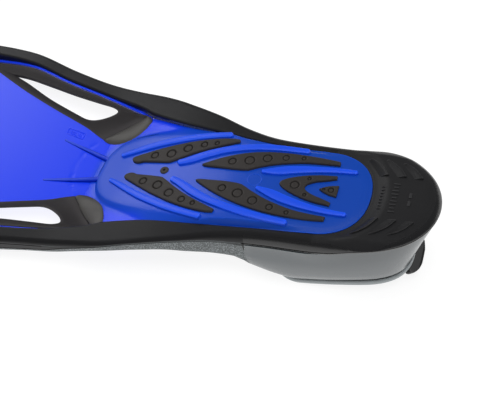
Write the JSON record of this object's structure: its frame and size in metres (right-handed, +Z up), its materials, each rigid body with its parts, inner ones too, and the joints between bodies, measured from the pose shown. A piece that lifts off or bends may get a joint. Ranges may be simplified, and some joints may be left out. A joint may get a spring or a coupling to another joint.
{
  "type": "full-foot swim fin",
  "caption": "Full-foot swim fin lying sole up: a blue blade between black side rails, vented rubber webs, a soft foot pocket, gripping sole pads and a heel pull tab.",
  "frame": {"origin": "centre of the bounding box's base: the floor under the middle of the fin, which lies sole up on its instep and its rail tips", "axes": "+X towards the heel, -X towards the blade tip, +Z up (the sole faces up), +Y to the fin's left seen from the heel with the sole up; the fin is symmetric across Y"},
  "size_m": [0.5888, 0.2356, 0.0886],
  "materials": {
    "blue_plastic": "satin moulded thermoplastic",
    "black_rubber": "satin moulded rubber",
    "grip_rubber": "matt moulded rubber",
    "soft_rubber": "smooth soft rubber"
  },
  "bodies": {
    "foot_pocket": {"sole_plate": "blue_plastic", "outsole_band": "black_rubber", "foot_pocket": "soft_rubber", "footbed": "soft_rubber", "sole_core": "black_rubber", "gate_button": "black_rubber", "grip_pad_chevron": "grip_rubber", "grip_pad_heel": "grip_rubber", "grip_pad_front_left": "grip_rubber", "grip_pad_front_right": "grip_rubber", "grip_pad_middle_left": "grip_rubber", "grip_pad_middle_right": "grip_rubber", "web_root_left": "black_rubber", "web_root_right": "black_rubber"},
    "blade": {"blade_panel": "blue_plastic", "flex_web_left": "black_rubber", "flex_web_right": "black_rubber", "rail_left": "black_rubber", "rail_right": "black_rubber"},
    "pull_tab": {"pull_tab": "black_rubber"}
  },
  "joints": [
    {"name": "blade_flex", "type": "hinge", "parent": "foot_pocket", "child": "blade", "pos_m": [-0.01571, 0, 0.02238], "axis": [0, 1, 0], "range_deg": [-15, 15], "stiffness_Nm_per_rad": 22},
    {"name": "pull_tab_bend", "type": "hinge", "parent": "foot_pocket", "child": "pull_tab", "pos_m": [0.27547, 0, 0.02092], "axis": [0, 1, 0], "range_deg": [-30, 30], "stiffness_Nm_per_rad": 0.3}
  ]
}
